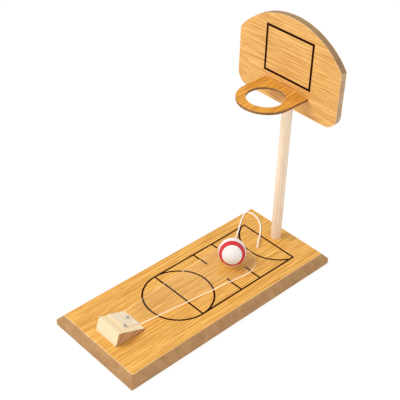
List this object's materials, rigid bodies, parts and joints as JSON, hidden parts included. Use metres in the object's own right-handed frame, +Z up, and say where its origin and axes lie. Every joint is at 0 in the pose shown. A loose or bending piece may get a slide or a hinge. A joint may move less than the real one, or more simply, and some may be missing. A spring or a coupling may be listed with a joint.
{
  "type": "tabletop basketball game",
  "caption": "Tabletop basketball game: bevelled wooden court, clear springy tongue on a wedge, tethered ball, and a hoop plate with an arched backboard on a round post.",
  "frame": {"origin": "middle of the board's underside", "axes": "+Z up, +Y along the board from the launcher to the hoop, +X across the board to the right"},
  "size_m": [0.175, 0.37, 0.373],
  "materials": {
    "oak_veneer": "satin lacquer",
    "hoop_veneer": "satin lacquer",
    "mdf": "bare, sealed",
    "dowel": "bare, sanded",
    "pine": "bare, sawn",
    "ink": "matte print",
    "clear_sheet": "clear, polished",
    "ball_white": "satin",
    "cord": "braided",
    "steel": "plated"
  },
  "bodies": {
    "base": {"base_core": "mdf", "base_veneer": "oak_veneer", "base_backing": "oak_veneer", "court_lines": "ink", "post": "dowel", "post_screw": "steel", "backboard_core": "mdf", "backboard_front_veneer": "oak_veneer", "backboard_back_veneer": "oak_veneer", "backboard_lines": "ink", "hoop_core": "mdf", "hoop_top_veneer": "hoop_veneer", "hoop_bottom_veneer": "hoop_veneer", "launcher_block": "pine", "block_screws": "steel", "tongue_tail": "clear_sheet", "tongue_screws": "steel", "cord_loop": "cord", "base_knot": "cord"},
    "tongue": {"tongue_blade": "clear_sheet"},
    "ball": {"ball": "ball_white", "cord_lead": "cord", "ball_knot": "cord"}
  },
  "joints": [
    {"name": "tongue_flex", "type": "hinge", "parent": "base", "child": "tongue", "pos_m": [0, -0.1146, 0.0225], "axis": [1, 0, 0], "range_deg": [0, 15], "stiffness_Nm_per_rad": 1.2, "deforming": ["cord_loop"]},
    {"name": "ball_lift", "type": "slide", "parent": "tongue", "child": "ball", "axis": [0, 0, 1], "range_m": [0, 0.06], "deforming": ["cord_lead"]}
  ]
}
